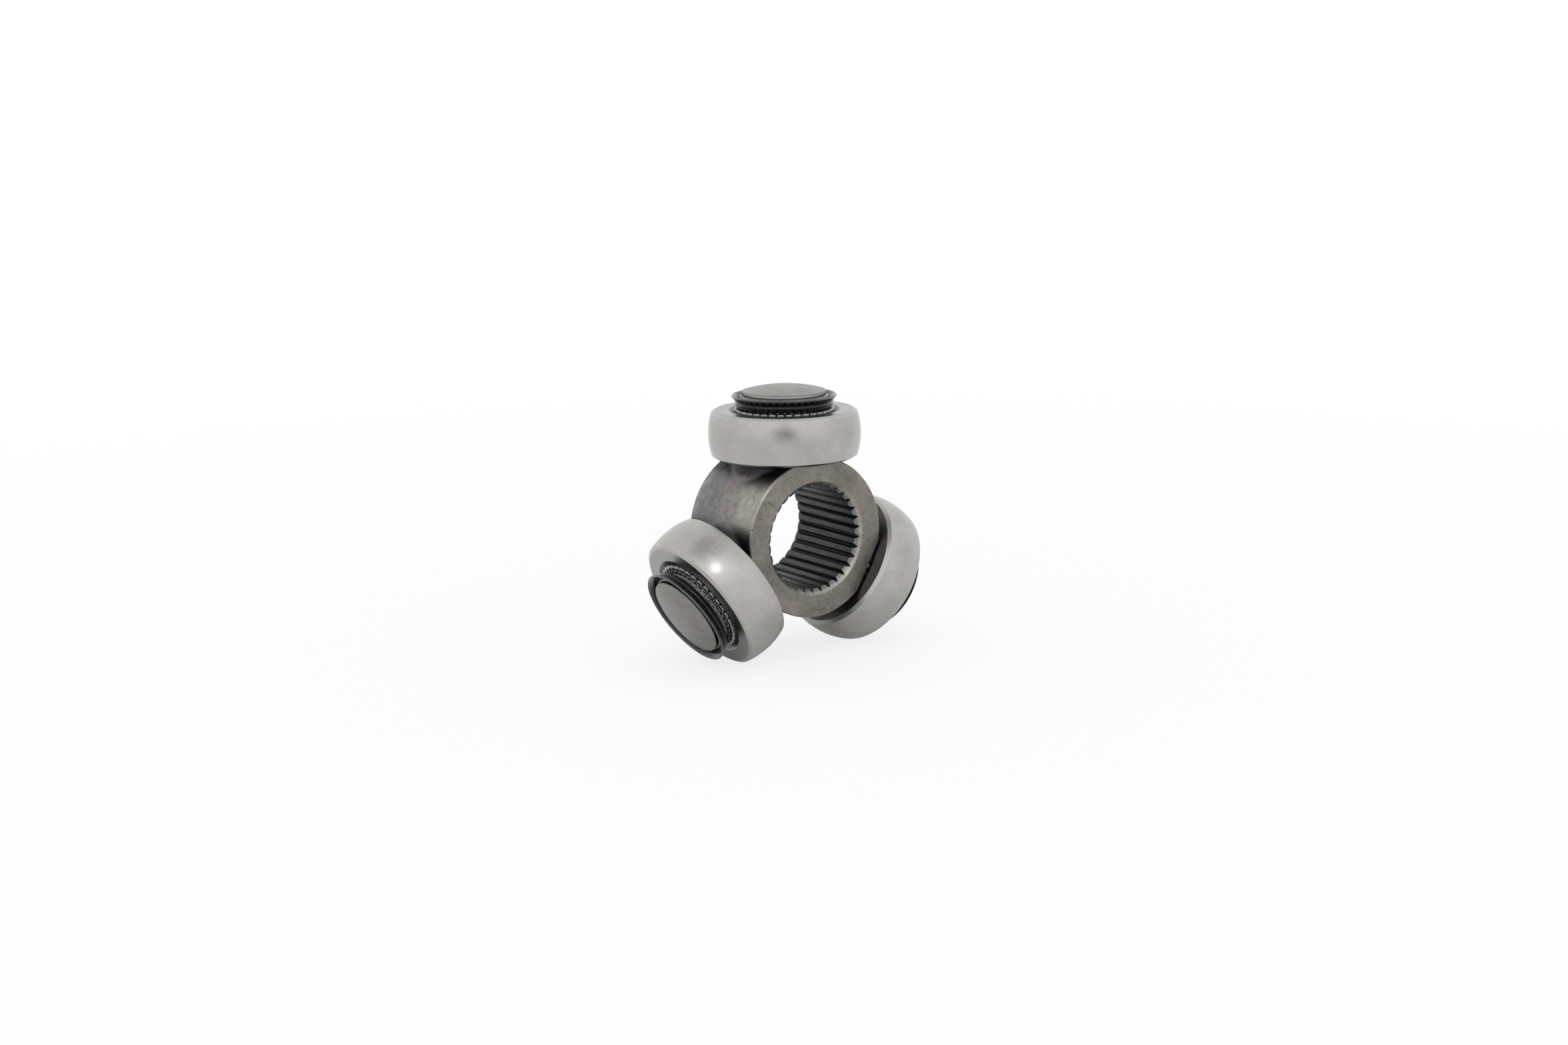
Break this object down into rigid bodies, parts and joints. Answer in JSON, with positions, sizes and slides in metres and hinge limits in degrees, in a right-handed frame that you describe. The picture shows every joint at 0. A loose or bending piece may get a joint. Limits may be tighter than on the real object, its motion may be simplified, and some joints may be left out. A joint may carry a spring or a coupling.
{
  "type": "tripod joint spider",
  "caption": "Three-arm steel spider with a splined hub; each arm carries a barrel roller that spins on needles and slides up to a flared black collar.",
  "frame": {"origin": "on the hub's axis, in the plane of the three arms", "axes": "+Y along the hub's axis from its front face to its back face, +Z along the upright arm"},
  "size_m": [0.0688, 0.035, 0.0623],
  "materials": {
    "forged_steel": "matt, heat-treated forging with turned faces and ground trunnions",
    "roller_steel": "satin, ground bearing steel",
    "needle_steel": "polished bearing steel",
    "black_sheet": "black oxide, satin",
    "spring_wire": "bright drawn wire"
  },
  "bodies": {
    "spider": {"spider": "forged_steel", "top_stop_ring": "spring_wire", "left_stop_ring": "spring_wire", "right_stop_ring": "spring_wire"},
    "top_collar": {"top_collar": "black_sheet"},
    "top_roller": {"top_roller": "roller_steel"},
    "top_needles": {"top_needles": "needle_steel"},
    "left_collar": {"left_collar": "black_sheet"},
    "left_roller": {"left_roller": "roller_steel"},
    "left_needles": {"left_needles": "needle_steel"},
    "right_collar": {"right_collar": "black_sheet"},
    "right_roller": {"right_roller": "roller_steel"},
    "right_needles": {"right_needles": "needle_steel"}
  },
  "joints": [
    {"name": "top_roller_spin", "type": "hinge", "parent": "spider", "child": "top_collar", "pos_m": [0, 0, 0], "axis": [0, 0, 1], "continuous": true},
    {"name": "top_roller_slide", "type": "slide", "parent": "top_collar", "child": "top_roller", "axis": [0, 0, 1], "range_m": [-0.00045, 0.0035]},
    {"name": "top_needle_orbit", "type": "hinge", "parent": "spider", "child": "top_needles", "pos_m": [0, 0, 0], "axis": [0, 0, 1], "continuous": true},
    {"name": "left_roller_spin", "type": "hinge", "parent": "spider", "child": "left_collar", "pos_m": [0, 0, 0], "axis": [-0.866, 0, -0.5], "continuous": true},
    {"name": "left_roller_slide", "type": "slide", "parent": "left_collar", "child": "left_roller", "axis": [-0.866, 0, -0.5], "range_m": [-0.00045, 0.0046]},
    {"name": "left_needle_orbit", "type": "hinge", "parent": "spider", "child": "left_needles", "pos_m": [0, 0, 0], "axis": [-0.866, 0, -0.5], "continuous": true},
    {"name": "right_roller_spin", "type": "hinge", "parent": "spider", "child": "right_collar", "pos_m": [0, 0, 0], "axis": [0.866, 0, -0.5], "continuous": true},
    {"name": "right_roller_slide", "type": "slide", "parent": "right_collar", "child": "right_roller", "axis": [0.866, 0, -0.5], "range_m": [-0.00045, 0.0046]},
    {"name": "right_needle_orbit", "type": "hinge", "parent": "spider", "child": "right_needles", "pos_m": [0, 0, 0], "axis": [0.866, 0, -0.5], "continuous": true}
  ],
  "couplings": [
    {"joint": "top_needle_orbit", "follows": "top_roller_spin", "ratio": 0.5442},
    {"joint": "left_needle_orbit", "follows": "left_roller_spin", "ratio": 0.5442},
    {"joint": "right_needle_orbit", "follows": "right_roller_spin", "ratio": 0.5442}
  ]
}
